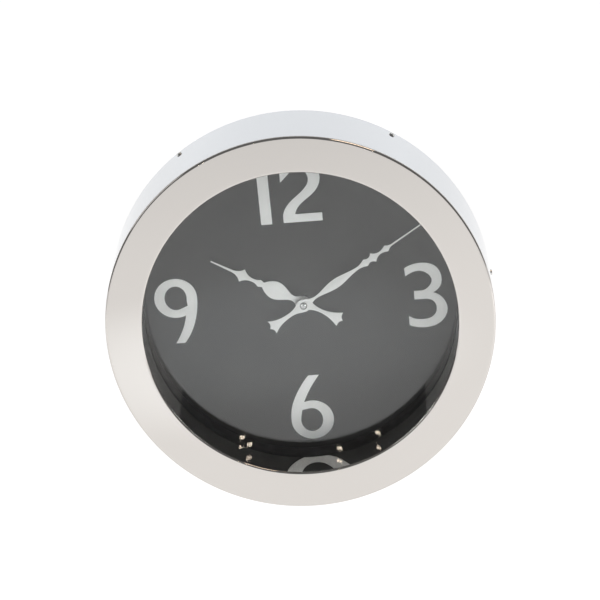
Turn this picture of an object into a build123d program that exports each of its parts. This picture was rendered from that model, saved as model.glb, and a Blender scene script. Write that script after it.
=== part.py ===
from build123d import *
import math
import os

# Round wall clock in a deep polished metal drum, driven by a quartz movement.
#
# Frame: +Z is twelve o'clock and the clock faces -Y. The origin is the centre of the rear
# plane, where the drum's rear edge lies on the wall. A height is the distance in front of
# that plane, so height h is at y = -h. The hands turn about an axis that lies a little to
# the right of the drum's own. case_plane(h) is centred on the drum and train_plane(h) on
# the hands' axis. Both are seen from the front: a sketch's x is the frame's X and its y is
# the frame's Z. All lengths are millimetres and all angles degrees.

# ---- Driving dimensions: case ----
case_radius = 152.4
case_depth = 76.2
opening_radius = 123.4
sheet = 1.2
seam = 0.4
bezel_rim = 2.2
bezel_edge_round = 1.7
skirt_depth = 10.0
skirt_clearance = 0.05

glass_front = 41.5
glass_thickness = 3.0
glass_radius = 127.0
gasket_thickness = 1.0
spacer_wall = 3.2
spacer_foot_radius = 134.0
spacer_foot_thickness = 2.5

dial_front = 18.0
dial_thickness = 1.0
dial_radius = 134.5
numeral_thickness = 0.8

board_rear = 5.0
board_radius = 151.0
movement_hole = 57.0

screw_clearance = 0.1
case_screw_height = 8.0
case_screw_angles = (3.5, 57.5, 124.5, 183.5, 237.5, 304.5)
case_screw_radius = 1.5
case_screw_length = 14.0
case_screw_head_radius = 2.3
case_screw_head_height = 1.0
case_screw_head_slope = 18.0
cross_slot_length = 2.2
cross_slot_width = 0.5
cross_slot_depth = 0.6

spacer_screw_circle = 130.7
spacer_screw_count = 6
spacer_screw_radius = 1.2
spacer_screw_length = 12.0
spacer_screw_head_radius = 2.3
spacer_screw_head_height = 1.4

hanger_height = 105.0
hanger_width = 52.0
hanger_tall = 24.0
hanger_corner = 4.0
hanger_sheet = 1.4
keyhole_radius = 4.5
keyhole_slot_radius = 2.3
keyhole_rise = 9.0
nail_pocket_depth = 7.0
nail_pocket_width = 18.0
hanger_screw_spacing = 40.0
hanger_screw_radius = 1.6
hanger_screw_length = 10.4
hanger_screw_head_radius = 3.2
hanger_screw_head_height = 1.6
hanger_pilot_depth = 10.0

# ---- Driving dimensions: numerals, by the middle of each figure ----
twelve_centre = (-2.4, 92.7)
three_centre = (99.8, -1.8)
six_centre = (1.5, -89.4)
nine_centre = (-99.15, -0.3)

# ---- Driving dimensions: hands. Their angles are clock angles from twelve ----
hands_offset = 2.1
hour_hand_angle = 299.7
minute_hand_angle = 58.25
hand_sheet = 0.6
hour_hand_height = 21.8
minute_hand_height = 28.6
hour_hub_radius = 5.7
minute_hub_radius = 5.2
hour_tube_radius = 2.1
minute_tube_radius = 1.2
hour_collet_radius = 3.6
hour_collet_height = 0.8
minute_collet_radius = 3.0
minute_collet_height = 2.0
hand_nut_radius = 3.0
hand_nut_height = 2.6
hand_nut_dome = 2.5
hand_nut_grip = 1.1
hand_nut_gap = 0.2
press_clearance = 0.02

# ---- Driving dimensions: movement case and its fixing ----
movement_size = 56.0
movement_rear = 1.0
movement_front = 16.5
movement_wall = 1.2
movement_corner = 2.5
bridge_rear = 9.2
bridge_front = 10.2
bridge_middle = (2.0, 2.6)
bridge_size = (38.0, 26.0)
bridge_corner = 2.0
pillar_spacing = (33.0, 21.5)
pillar_radius = 1.6
pillar_hole_depth = 3.4
bridge_screw_radius = 0.7
bridge_screw_length = 4.0
bridge_screw_head_radius = 1.3
bridge_screw_head_height = 0.6
bay_wall_z = -11.8
bay_wall = 0.8
bay_wall_gap = 1.0

bushing_radius = 4.0
bushing_clearance = 0.15
bushing_fit = 0.05
bushing_end = 20.8
bushing_chamfer = 0.4
bushing_flange_radius = 6.2
bushing_flange = 0.5
rubber_washer_radius = 9.0
fixing_washer_radius = 7.0
fixing_washer_thickness = 0.5
nut_across_flats = 11.0
nut_thickness = 2.0

# ---- Driving dimensions: cell, circuit and stepping motor, from the hands' axis ----
cell_radius = 7.0
cell_length = 50.5
cell_edge_round = 0.6
cell_z = -19.6
cell_height = 8.2
cell_nub_radius = 2.7
cell_nub_length = 1.2
contact_sheet = 0.4
contact_width = 6.0
contact_below_cell = 3.5
contact_top_z = -7.5
contact_gap = 0.05
positive_button_radius = 2.0
negative_button_radius = 2.6
negative_button_slope = 30.0

circuit_middle = (-17.8, 6.0)
circuit_size = (16.4, 31.0)
circuit_corner = 1.0
circuit_height = 3.0
circuit_thickness = 0.8
chip_middle = (-18.5, 2.0)
chip_radius = 3.2
chip_height = 1.2
chip_round = 0.9
crystal_foot = (-18.5, 10.0)
crystal_radius = 1.1
crystal_length = 7.0
crystal_round = 0.4

stator_height = 4.2
stator_thickness = 0.8
stator_left = 2.0
stator_right = 26.2
stator_leg_width = 2.8
stator_half_bar = 4.8
stator_over_core = 1.0
stator_rotor_gap = 0.5
stator_arbor_gap = 0.7
coil_z = 20.5
coil_left = 5.0
coil_right = 23.2
coil_flange = 0.6
coil_flange_radius = 3.0
core_thickness = 0.8
core_width = 2.8
core_gap = 0.05
bobbin_radius = 1.9
winding_radius = 2.7
magnet_radius = 3.0
magnet_rear = 3.6
magnet_length = 2.0

# ---- Driving dimensions: wheel train ----
# Tooth counts. Rotor to seconds 30:1, seconds to centre 60:1, minute to hour 12:1.
rotor_leaves = 10
intermediate_teeth = 60
intermediate_leaves = 8
seconds_teeth = 40
seconds_leaves = 8
third_teeth = 60
third_leaves = 8
centre_teeth = 64
cannon_leaves = 12
minute_teeth = 36
minute_leaves = 10
hour_teeth = 40
knob_leaves = 12

rotor_module = 0.25
seconds_module = 0.35
centre_module = 0.30
cannon_module = 0.30

# Where each toothed rim starts, as a height, and its length along the axis.
wheel_rim = 0.6
rotor_leaves_at = (6.4, 1.4)
intermediate_wheel_at = 6.8
intermediate_leaves_at = (5.2, 1.6)
seconds_wheel_at = 5.4
seconds_leaves_at = (7.7, 1.3)
third_wheel_at = 8.0
third_leaves_at = (10.5, 1.2)
centre_wheel_at = 10.8
cannon_leaves_at = (11.8, 1.4)
minute_wheel_at = 12.2
minute_leaves_at = (13.5, 1.2)
hour_wheel_at = (13.6, 0.8)
knob_leaves_at = (12.0, 1.1)

arbor_radius = 0.5
seconds_arbor_radius = 0.4
seconds_arbor_end = 16.0
pivot_radius = 0.3
pivot_length = 0.6
pivot_clearance = 0.05
pivot_hole_spare = 0.2
end_shake = 0.2
third_arbor_gap = 0.3
running_clearance = 0.06
slip_clearance = 0.05
minute_stud_radius = 0.6
minute_stud_height = 11.9
minute_wheel_hub_radius = 1.0
minute_wheel_shake = 0.1
minute_flange_radius = 1.9
minute_flange_at = (10.3, 0.4)
minute_bore = 0.6
minute_bore_end = 3.0
clutch_spring_radius = 3.2
clutch_spring_at = (11.5, 0.2)
knob_radius = 4.0
knob_rear = 1.3
knob_thickness = 2.0
knob_hole_gap = 0.3
knob_flute_count = 12
knob_flute_radius = 0.5
knob_flute_circle = 4.2
stem_radius = 1.0
stem_pivot_radius = 0.5
stem_clearance = 0.05

# Centre distances follow from the tooth counts, and the two pairs that share both of
# their axes with another pair take the module that gives them the same distance.
rotor_distance = (rotor_leaves + intermediate_teeth) * rotor_module / 2
intermediate_distance = (intermediate_leaves + seconds_teeth) * seconds_module / 2
third_distance = (third_leaves + centre_teeth) * centre_module / 2
third_module = 2 * third_distance / (third_teeth + seconds_leaves)
minute_distance = (cannon_leaves + minute_teeth) * cannon_module / 2
hour_module = 2 * minute_distance / (minute_leaves + hour_teeth)
knob_distance = (minute_teeth + knob_leaves) * cannon_module / 2

# Directions from one axis to the next, anticlockwise from +X as seen from the front.
intermediate_direction = 45.0
rotor_direction = 20.0
third_direction = 135.0
minute_direction = -25.0

os.makedirs("parts", exist_ok=True)


# ---- Shared shapes ----
def case_plane(height):
    """Plane that faces the front at this height, centred on the drum."""
    return Plane.XZ.offset(height)


def train_plane(height):
    """Plane that faces the front at this height, centred on the hands' axis."""
    return Plane(origin=(hands_offset, -height, 0), x_dir=(1, 0, 0), z_dir=(0, -1, 0))


def hand_plane(clock_angle, height):
    """Train plane turned so that its x axis points along a hand at this clock angle."""
    angle = math.radians(clock_angle)
    return Plane(
        origin=(hands_offset, -height, 0),
        x_dir=(math.sin(angle), 0, math.cos(angle)),
        z_dir=(0, -1, 0),
    )


def side_plane(x, height, z):
    """Plane that faces +X, placed from the hands' axis."""
    return Plane(origin=(hands_offset + x, -height, z), x_dir=(0, 1, 0), z_dir=(1, 0, 0))


def polar(distance, direction, start=(0.0, 0.0)):
    """Point at a distance and direction from a start point, in the front view."""
    angle = math.radians(direction)
    return (start[0] + distance * math.cos(angle), start[1] + distance * math.sin(angle))


def radial_plane(radius, height, direction):
    """Plane on a cylinder about the drum's axis, facing straight out from it."""
    x, z = polar(radius, direction)
    outward = polar(1.0, direction)
    return Plane(origin=(x, -height, z), x_dir=(0, 1, 0), z_dir=(outward[0], 0, outward[1]))


def turned_face(points):
    """Closed section of a body turned about the drum's axis, from (radius, height)."""
    with BuildSketch() as section:
        with BuildLine():
            Polyline([(radius, -height) for radius, height in points], close=True)
        make_face()
    return section.sketch


def ring(rear, length, inner, outer, centre=(0.0, 0.0)):
    """Tube or washer parallel to the hands' axis."""
    with BuildPart() as tube:
        with BuildSketch(train_plane(rear)):
            with Locations(centre):
                Circle(outer)
                Circle(inner, mode=Mode.SUBTRACT)
        extrude(amount=length)
    return tube.part


def arbor(centre, steps):
    """Round arbor parallel to the hands' axis, from (radius, rear, front) steps."""
    with BuildPart() as shaft:
        for radius, rear, front in steps:
            with BuildSketch(train_plane(rear)):
                with Locations(centre):
                    Circle(radius)
            extrude(amount=front - rear)
    return shaft.part


def gear(rear, length, centre, teeth, module, phase):
    """Spur gear with a tooth at the phase angle. Its teeth are thin, for backlash."""
    pitch_radius = teeth * module / 2
    tip_radius = pitch_radius + 0.8 * module
    root_radius = pitch_radius - 1.1 * module
    pitch_angle = 360 / teeth
    flank = (
        (root_radius, -0.28), (tip_radius, -0.11), (tip_radius, 0.11), (root_radius, 0.28),
    )
    outline = []
    for tooth in range(teeth):
        for radius, share in flank:
            outline.append(polar(radius, phase + pitch_angle * (tooth + share), centre))
    with BuildPart() as wheel:
        with BuildSketch(train_plane(rear)):
            with BuildLine():
                Polyline(outline, close=True)
            make_face()
        extrude(amount=length)
    return wheel.part


def gap_phase(teeth, direction):
    """Phase that turns a gap, and not a tooth, to this direction."""
    return direction + 180 / teeth


# Axes of the train, as (x, z) from the hands' axis.
centre_axis = (0.0, 0.0)
intermediate_axis = polar(intermediate_distance, intermediate_direction)
rotor_axis = polar(rotor_distance, rotor_direction, intermediate_axis)
third_axis = polar(third_distance, third_direction)
minute_axis = polar(minute_distance, minute_direction)
knob_axis = polar(minute_distance + knob_distance, minute_direction)


# ---- Case ----
bezel_edge = case_depth - bezel_rim
bezel_underside = case_depth - sheet
skirt_radius = case_radius - sheet - skirt_clearance
skirt_end = bezel_edge - skirt_depth
gasket_front = glass_front + gasket_thickness
glass_rear = glass_front - glass_thickness
dial_rear = dial_front - dial_thickness

with BuildPart() as case_drum:
    revolve(turned_face([
        (case_radius - sheet, 0), (case_radius, 0),
        (case_radius, bezel_edge - seam), (case_radius - sheet, bezel_edge - seam),
    ]), axis=Axis.Y)
    for direction in case_screw_angles:
        with BuildSketch(radial_plane(case_radius - 2 * sheet, case_screw_height, direction)):
            Circle(case_screw_radius + screw_clearance)
        extrude(amount=3 * sheet, mode=Mode.SUBTRACT)
case_drum.part.label = "case_drum"
export_step(case_drum.part, "parts/case_drum.step")

# The bezel is one piece: flat face with a thicker rounded rim, inner wall down to the glass,
# and a skirt that slips inside the drum.
with BuildPart() as front_bezel:
    revolve(turned_face([
        (opening_radius, case_depth), (case_radius, case_depth),
        (case_radius, bezel_edge), (skirt_radius, bezel_edge),
        (skirt_radius, skirt_end), (skirt_radius - sheet, skirt_end),
        (skirt_radius - sheet, bezel_underside), (opening_radius + sheet, bezel_underside),
        (opening_radius + sheet, gasket_front), (opening_radius, gasket_front),
    ]), axis=Axis.Y)
    front_edges = front_bezel.edges().filter_by(GeomType.CIRCLE).group_by(Axis.Y)[0]
    fillet(front_edges, radius=bezel_edge_round)
front_bezel.part.label = "front_bezel"
export_step(front_bezel.part, "parts/front_bezel.step")

with BuildPart() as glass_gasket:
    with BuildSketch(case_plane(glass_front)):
        Circle(glass_radius)
        Circle(opening_radius, mode=Mode.SUBTRACT)
    extrude(amount=gasket_thickness)
glass_gasket.part.label = "glass_gasket"
export_step(glass_gasket.part, "parts/glass_gasket.step")

with BuildPart() as glass_lens:
    with BuildSketch(case_plane(glass_rear)):
        Circle(glass_radius)
    extrude(amount=glass_thickness)
glass_lens.part.label = "glass_lens"
export_step(glass_lens.part, "parts/glass_lens.step")

# The spacer stands on the dial's rim, carries the glass and has a foot for its screws.
spacer_inner = glass_radius - spacer_wall
foot_front = dial_front + spacer_foot_thickness
with BuildPart() as spacer_ring:
    revolve(turned_face([
        (spacer_inner, dial_front), (spacer_foot_radius, dial_front),
        (spacer_foot_radius, foot_front), (glass_radius, foot_front),
        (glass_radius, glass_rear), (spacer_inner, glass_rear),
    ]), axis=Axis.Y)
    with BuildSketch(case_plane(dial_front)):
        with PolarLocations(spacer_screw_circle, spacer_screw_count):
            Circle(spacer_screw_radius + screw_clearance)
    extrude(amount=spacer_foot_thickness, mode=Mode.SUBTRACT)
spacer_ring.part.label = "spacer_ring"
export_step(spacer_ring.part, "parts/spacer_ring.step")

with BuildPart() as spacer_screws:
    with BuildSketch(case_plane(foot_front)):
        with PolarLocations(spacer_screw_circle, spacer_screw_count):
            Circle(spacer_screw_head_radius)
    extrude(amount=spacer_screw_head_height)
    with BuildSketch(case_plane(foot_front - spacer_screw_length)):
        with PolarLocations(spacer_screw_circle, spacer_screw_count):
            Circle(spacer_screw_radius)
    extrude(amount=spacer_screw_length)
spacer_screws.part.label = "spacer_screws"
export_step(spacer_screws.part, "parts/spacer_screws.step")

with BuildPart() as dial_plate:
    with BuildSketch(case_plane(dial_rear)):
        Circle(dial_radius)
        with Locations((hands_offset, 0)):
            Circle(bushing_radius + bushing_clearance, mode=Mode.SUBTRACT)
        with PolarLocations(spacer_screw_circle, spacer_screw_count):
            Circle(spacer_screw_radius + screw_clearance, mode=Mode.SUBTRACT)
    extrude(amount=dial_thickness)
dial_plate.part.label = "dial_plate"
export_step(dial_plate.part, "parts/dial_plate.step")

# Backing board with a square hole for the movement and a pocket for the wall screw's head.
with BuildPart() as back_board:
    with BuildSketch(case_plane(board_rear)):
        Circle(board_radius)
        with Locations((hands_offset, 0)):
            Rectangle(movement_hole, movement_hole, mode=Mode.SUBTRACT)
        with PolarLocations(spacer_screw_circle, spacer_screw_count):
            Circle(spacer_screw_radius + screw_clearance, mode=Mode.SUBTRACT)
    extrude(amount=dial_rear - board_rear)
    with BuildSketch(case_plane(board_rear)):
        with Locations((0, hanger_height + keyhole_rise / 2)):
            SlotCenterToCenter(keyhole_rise, nail_pocket_width, rotation=90)
    extrude(amount=nail_pocket_depth, mode=Mode.SUBTRACT)
    with BuildSketch(case_plane(board_rear)):
        with Locations((0, hanger_height)):
            with GridLocations(hanger_screw_spacing, 0, 2, 1):
                Circle(hanger_screw_radius + screw_clearance)
    extrude(amount=hanger_pilot_depth, mode=Mode.SUBTRACT)
    for direction in case_screw_angles:
        with BuildSketch(radial_plane(board_radius + 1, case_screw_height, direction)):
            Circle(case_screw_radius + screw_clearance)
        extrude(amount=-case_screw_length - 1, mode=Mode.SUBTRACT)
back_board.part.label = "back_board"
export_step(back_board.part, "parts/back_board.step")

# Pan-head screws through the drum's side into the edge of the board.
with BuildPart() as case_screws:
    for direction in case_screw_angles:
        seat = radial_plane(case_radius, case_screw_height, direction)
        with BuildSketch(seat):
            Circle(case_screw_head_radius)
        extrude(amount=case_screw_head_height, taper=case_screw_head_slope)
        with BuildSketch(seat):
            Circle(case_screw_radius)
        extrude(amount=-case_screw_length)
        with BuildSketch(seat.offset(case_screw_head_height)):
            Rectangle(cross_slot_length, cross_slot_width)
            Rectangle(cross_slot_width, cross_slot_length)
        extrude(amount=-cross_slot_depth, mode=Mode.SUBTRACT)
case_screws.part.label = "case_screws"
export_step(case_screws.part, "parts/case_screws.step")

hanger_rear = board_rear - hanger_sheet
with BuildPart() as hanger_plate:
    with BuildSketch(case_plane(hanger_rear)):
        with Locations((0, hanger_height)):
            RectangleRounded(hanger_width, hanger_tall, hanger_corner)
            Circle(keyhole_radius, mode=Mode.SUBTRACT)
            with GridLocations(hanger_screw_spacing, 0, 2, 1):
                Circle(hanger_screw_radius + screw_clearance, mode=Mode.SUBTRACT)
        with Locations((0, hanger_height + keyhole_rise / 2)):
            SlotCenterToCenter(
                keyhole_rise, 2 * keyhole_slot_radius, rotation=90, mode=Mode.SUBTRACT
            )
    extrude(amount=hanger_sheet)
hanger_plate.part.label = "hanger_plate"
export_step(hanger_plate.part, "parts/hanger_plate.step")

with BuildPart() as hanger_screws:
    with BuildSketch(case_plane(hanger_rear)):
        with Locations((0, hanger_height)):
            with GridLocations(hanger_screw_spacing, 0, 2, 1):
                Circle(hanger_screw_head_radius)
    extrude(amount=-hanger_screw_head_height)
    with BuildSketch(case_plane(hanger_rear)):
        with Locations((0, hanger_height)):
            with GridLocations(hanger_screw_spacing, 0, 2, 1):
                Circle(hanger_screw_radius)
    extrude(amount=hanger_screw_length)
hanger_screws.part.label = "hanger_screws"
export_step(hanger_screws.part, "parts/hanger_screws.step")


# ---- Numerals: thin plates on the dial, drawn about the middle of each figure ----
def looped_face(loop_z, hole_x, outer_edge, inner_edge, hole_corner):
    """Six or nine: a round loop, and a tail drawn down its outer and inner edges."""
    with BuildSketch() as face:
        with Locations((0, loop_z)):
            Ellipse(17.0, 16.2)
        with Locations((hole_x, loop_z)):
            Ellipse(8.8, 9.9, mode=Mode.SUBTRACT)
        with BuildLine():
            Spline(outer_edge)
            Line(outer_edge[-1], inner_edge[0])
            Spline(inner_edge)
            Line(inner_edge[-1], outer_edge[0])
        make_face()
        with BuildLine():
            Polyline(hole_corner, close=True)
        make_face(mode=Mode.SUBTRACT)
    return face.sketch


def six_face():
    """Figure six."""
    return looped_face(
        -10.7, -0.5,
        [(-0.8, 26.9), (-6.3, 20.0), (-10.4, 13.4), (-13.8, 6.6), (-17.0, -10.7)],
        [(-9.2, -10.7), (-8.9, -3.5), (-5.9, 4.6), (-1.4, 13.6), (7.7, 26.9)],
        [(-8.9, -7.4), (-7.7, -1.9), (-2.2, -0.9), (-4.0, -6.0)],
    )


def nine_face():
    """Figure nine. Its tail is steeper than the six's."""
    return looped_face(
        10.8, 0.0,
        [(4.4, -26.9), (10.1, -18.6), (14.3, -8.4), (16.5, 1.6), (17.0, 10.8)],
        [(9.2, 10.8), (8.9, 4.0), (7.2, -3.6), (4.8, -12.4), (1.4, -20.0), (-2.7, -26.9)],
        [(8.7, 8.4), (9.0, 3.9), (3.0, 1.5), (4.0, 6.0)],
    )


def three_face():
    """Figure three: two open bowls that meet at a short middle bar."""
    with BuildSketch() as face:
        with BuildLine():
            Spline((-16.2, 23.2), (-3.4, 27.0), (9.1, 22.8), (12.9, 12.8), (5.1, 1.7))
            Spline(
                (5.1, 1.7), (14.3, -5.7), (16.0, -12.0), (10.3, -22.9), (-3.2, -26.9),
                (-15.2, -24.2),
            )
            Line((-15.2, -24.2), (-15.1, -16.5))
            Spline(
                (-15.1, -16.5), (-3.2, -20.1), (5.8, -16.4), (7.4, -10.6), (-1.2, -3.1)
            )
            Polyline((-1.2, -3.1), (-9.8, -3.1), (-9.8, 4.0), (-4.6, 4.0))
            Spline(
                (-4.6, 4.0), (1.9, 6.5), (4.9, 12.2), (-3.6, 20.5), (-10.8, 19.4),
                (-15.8, 16.6),
            )
            Line((-15.8, 16.6), (-16.2, 23.2))
        make_face()
    return face.sketch


def two_face():
    """Figure two: a hook over a sloping stroke that lands on a flat foot."""
    with BuildSketch() as face:
        with BuildLine():
            Polyline((24.9, -19.8), (24.9, -26.3), (-6.0, -26.3), (-6.0, -20.4))
            Spline(
                (-6.0, -20.4), (-2.3, -12.4), (5.3, -5.3), (12.7, 1.4), (15.8, 8.8),
                (8.8, 18.6), (0.4, 13.4), (-6.2, 7.0),
            )
            Line((-6.2, 7.0), (-6.2, 17.0))
            Spline(
                (-6.2, 17.0), (9.0, 26.9), (25.1, 9.6), (20.0, -2.2), (8.0, -12.0),
                (3.6, -19.8),
            )
            Line((3.6, -19.8), (24.9, -19.8))
        make_face()
    return face.sketch


def one_face():
    """Figure one: a leaning stem with a short flag."""
    with BuildSketch() as face:
        with BuildLine():
            Polyline(
                (-23.8, -26.6), (-15.0, -26.6), (-15.9, 26.9), (-22.6, 26.9),
                (-34.5, 20.6), (-32.4, 14.2), (-24.5, 17.8), close=True,
            )
        make_face()
    return face.sketch


with BuildPart() as numeral_12:
    with BuildSketch(case_plane(dial_front)):
        with Locations(twelve_centre):
            add(one_face())
            add(two_face())
    extrude(amount=numeral_thickness)
numeral_12.part.label = "numeral_12"
export_step(numeral_12.part, "parts/numeral_12.step")

with BuildPart() as numeral_3:
    with BuildSketch(case_plane(dial_front)):
        with Locations(three_centre):
            add(three_face())
    extrude(amount=numeral_thickness)
numeral_3.part.label = "numeral_3"
export_step(numeral_3.part, "parts/numeral_3.step")

with BuildPart() as numeral_6:
    with BuildSketch(case_plane(dial_front)):
        with Locations(six_centre):
            add(six_face())
    extrude(amount=numeral_thickness)
numeral_6.part.label = "numeral_6"
export_step(numeral_6.part, "parts/numeral_6.step")

with BuildPart() as numeral_9:
    with BuildSketch(case_plane(dial_front)):
        with Locations(nine_centre):
            add(nine_face())
    extrude(amount=numeral_thickness)
numeral_9.part.label = "numeral_9"
export_step(numeral_9.part, "parts/numeral_9.step")


# ---- Hands: pressed sheet, drawn along +x from the pivot, one half mirrored ----
with BuildPart() as hour_hand:
    with BuildSketch(hand_plane(hour_hand_angle, hour_hand_height)):
        with BuildLine():
            Polyline((81.4, 0.0), (81.2, 0.45), (62.6, 0.9))
            ThreePointArc((62.6, 0.9), (58.0, 2.1), (53.9, 5.6))
            ThreePointArc((53.9, 5.6), (50.5, 2.7), (45.4, 1.3))
            ThreePointArc((45.4, 1.3), (42.0, 1.6), (38.9, 3.1))
            Line((38.9, 3.1), (35.6, 1.9))
            Spline((35.6, 1.9), (31.6, 5.1), (24.6, 7.3), (17.6, 5.3), (11.0, 2.3), (4.6, 4.4))
            Line((4.6, 4.4), (-4.4, 4.4))
            Spline((-4.4, 4.4), (-10.0, 1.9), (-15.6, 1.4), (-23.6, 2.7), (-31.9, 6.2))
            ThreePointArc((-31.9, 6.2), (-32.1, 2.6), (-34.5, 0.0))
            mirror(about=Plane.XZ)
        make_face()
        Circle(hour_hub_radius)
        Circle(hour_tube_radius + press_clearance, mode=Mode.SUBTRACT)
    extrude(amount=hand_sheet)
hour_hand.part.label = "hour_hand"
export_step(hour_hand.part, "parts/hour_hand.step")

with BuildPart() as minute_hand:
    with BuildSketch(hand_plane(minute_hand_angle, minute_hand_height)):
        with BuildLine():
            Polyline((114.2, 0.0), (114.0, 0.45), (86.6, 0.6))
            ThreePointArc((86.6, 0.6), (83.2, 1.3), (80.9, 2.9))
            ThreePointArc((80.9, 2.9), (78.2, 1.6), (74.6, 1.0))
            ThreePointArc((74.6, 1.0), (70.8, 2.0), (68.0, 4.4))
            ThreePointArc((68.0, 4.4), (64.6, 1.9), (60.8, 3.3))
            ThreePointArc((60.8, 3.3), (57.4, 1.8), (53.0, 1.1))
            Spline((53.0, 1.1), (44.0, 2.1), (33.0, 3.7), (22.0, 2.5), (12.0, 1.0), (4.0, 4.0))
            Line((4.0, 4.0), (-4.0, 4.2))
            Spline((-4.0, 4.2), (-9.8, 1.9), (-15.6, 1.6), (-23.0, 2.6), (-31.0, 6.1))
            ThreePointArc((-31.0, 6.1), (-30.8, 2.6), (-33.1, 0.0))
            mirror(about=Plane.XZ)
        make_face()
        Circle(minute_hub_radius)
        Circle(minute_tube_radius + press_clearance, mode=Mode.SUBTRACT)
    extrude(amount=hand_sheet)
minute_hand.part.label = "minute_hand"
export_step(minute_hand.part, "parts/minute_hand.step")

with BuildPart() as hour_hand_collet:
    add(ring(
        hour_hand_height - hour_collet_height, hour_collet_height,
        hour_tube_radius + press_clearance, hour_collet_radius,
    ))
hour_hand_collet.part.label = "hour_hand_collet"
export_step(hour_hand_collet.part, "parts/hour_hand_collet.step")

with BuildPart() as minute_hand_collet:
    add(ring(
        minute_hand_height - minute_collet_height, minute_collet_height,
        minute_tube_radius + press_clearance, minute_collet_radius,
    ))
minute_hand_collet.part.label = "minute_hand_collet"
export_step(minute_hand_collet.part, "parts/minute_hand_collet.step")

# Domed cap nut on the end of the minute arbor.
nut_base = minute_hand_height + hand_sheet
minute_arbor_end = nut_base + hand_nut_grip
with BuildPart() as hand_nut:
    with BuildSketch(train_plane(nut_base)):
        Circle(hand_nut_radius)
    extrude(amount=hand_nut_height)
    fillet(hand_nut.edges().group_by(Axis.Y)[0], radius=hand_nut_dome)
    with BuildSketch(train_plane(nut_base)):
        Circle(minute_tube_radius + press_clearance)
    extrude(amount=hand_nut_grip + hand_nut_gap, mode=Mode.SUBTRACT)
hand_nut.part.label = "hand_nut"
export_step(hand_nut.part, "parts/hand_nut.step")


# ---- Movement: case, cover and bridge ----
cover_front = movement_rear + movement_wall
case_floor = movement_front - movement_wall
inner_size = movement_size - 2 * movement_wall
bearing_radius = pivot_radius + pivot_clearance
bearing_depth = pivot_length + pivot_hole_spare

with BuildPart() as movement_case:
    with BuildSketch(train_plane(cover_front)):
        RectangleRounded(movement_size, movement_size, movement_corner)
    extrude(amount=movement_front - cover_front)
    with BuildSketch(train_plane(cover_front)):
        RectangleRounded(inner_size, inner_size, movement_corner - movement_wall)
    extrude(amount=case_floor - cover_front, mode=Mode.SUBTRACT)
    with BuildSketch(train_plane(cover_front)):
        with Locations((0, bay_wall_z)):
            Rectangle(inner_size - 2 * bay_wall_gap, bay_wall)
    extrude(amount=case_floor - cover_front)
    with BuildSketch(train_plane(bridge_front)):
        with Locations(bridge_middle):
            with GridLocations(*pillar_spacing, 2, 2):
                Circle(pillar_radius)
    extrude(amount=case_floor - bridge_front)
    with BuildSketch(train_plane(bridge_front)):
        with Locations(bridge_middle):
            with GridLocations(*pillar_spacing, 2, 2):
                Circle(bridge_screw_radius + screw_clearance)
    extrude(amount=pillar_hole_depth, mode=Mode.SUBTRACT)
    with BuildSketch(train_plane(case_floor)):
        Circle(bushing_radius + bushing_fit)
    extrude(amount=movement_wall, mode=Mode.SUBTRACT)
    with BuildSketch(train_plane(case_floor)):
        with Locations(third_axis):
            Circle(bearing_radius)
        with Locations(knob_axis):
            Circle(stem_pivot_radius + stem_clearance)
    extrude(amount=bearing_depth, mode=Mode.SUBTRACT)
    with BuildSketch(train_plane(minute_stud_height)):
        with Locations(minute_axis):
            Circle(minute_stud_radius)
    extrude(amount=case_floor - minute_stud_height)
movement_case.part.label = "movement_case"
export_step(movement_case.part, "parts/movement_case.step")

# The cover leaves the cell's bay open, so that the cell can be changed from the rear.
bay_low = -inner_size / 2
with BuildPart() as movement_cover:
    with BuildSketch(train_plane(movement_rear)):
        RectangleRounded(movement_size, movement_size, movement_corner)
        with Locations((0, (bay_wall_z + bay_low) / 2)):
            Rectangle(inner_size, bay_wall_z - bay_low, mode=Mode.SUBTRACT)
        with Locations(knob_axis):
            Circle(knob_radius + knob_hole_gap, mode=Mode.SUBTRACT)
    extrude(amount=movement_wall)
    with BuildSketch(train_plane(cover_front)):
        with Locations(rotor_axis, intermediate_axis, third_axis, centre_axis):
            Circle(bearing_radius)
    extrude(amount=-bearing_depth, mode=Mode.SUBTRACT)
movement_cover.part.label = "movement_cover"
export_step(movement_cover.part, "parts/movement_cover.step")

with BuildPart() as train_bridge:
    with BuildSketch(train_plane(bridge_rear)):
        with Locations(bridge_middle):
            RectangleRounded(*bridge_size, bridge_corner)
            with GridLocations(*pillar_spacing, 2, 2):
                Circle(bridge_screw_radius + screw_clearance, mode=Mode.SUBTRACT)
        with Locations(rotor_axis, intermediate_axis):
            Circle(bearing_radius, mode=Mode.SUBTRACT)
        with Locations(centre_axis):
            Circle(seconds_arbor_radius + pivot_clearance, mode=Mode.SUBTRACT)
        with Locations(third_axis):
            Circle(arbor_radius + third_arbor_gap, mode=Mode.SUBTRACT)
        with Locations(knob_axis):
            Circle(stem_radius + stem_clearance, mode=Mode.SUBTRACT)
    extrude(amount=bridge_front - bridge_rear)
train_bridge.part.label = "train_bridge"
export_step(train_bridge.part, "parts/train_bridge.step")

with BuildPart() as bridge_screws:
    with BuildSketch(train_plane(bridge_rear)):
        with Locations(bridge_middle):
            with GridLocations(*pillar_spacing, 2, 2):
                Circle(bridge_screw_head_radius)
    extrude(amount=-bridge_screw_head_height)
    with BuildSketch(train_plane(bridge_rear)):
        with Locations(bridge_middle):
            with GridLocations(*pillar_spacing, 2, 2):
                Circle(bridge_screw_radius)
    extrude(amount=bridge_screw_length)
bridge_screws.part.label = "bridge_screws"
export_step(bridge_screws.part, "parts/bridge_screws.step")

# ---- Movement: fixing to the dial ----
bushing_bore = hour_tube_radius + running_clearance

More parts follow.
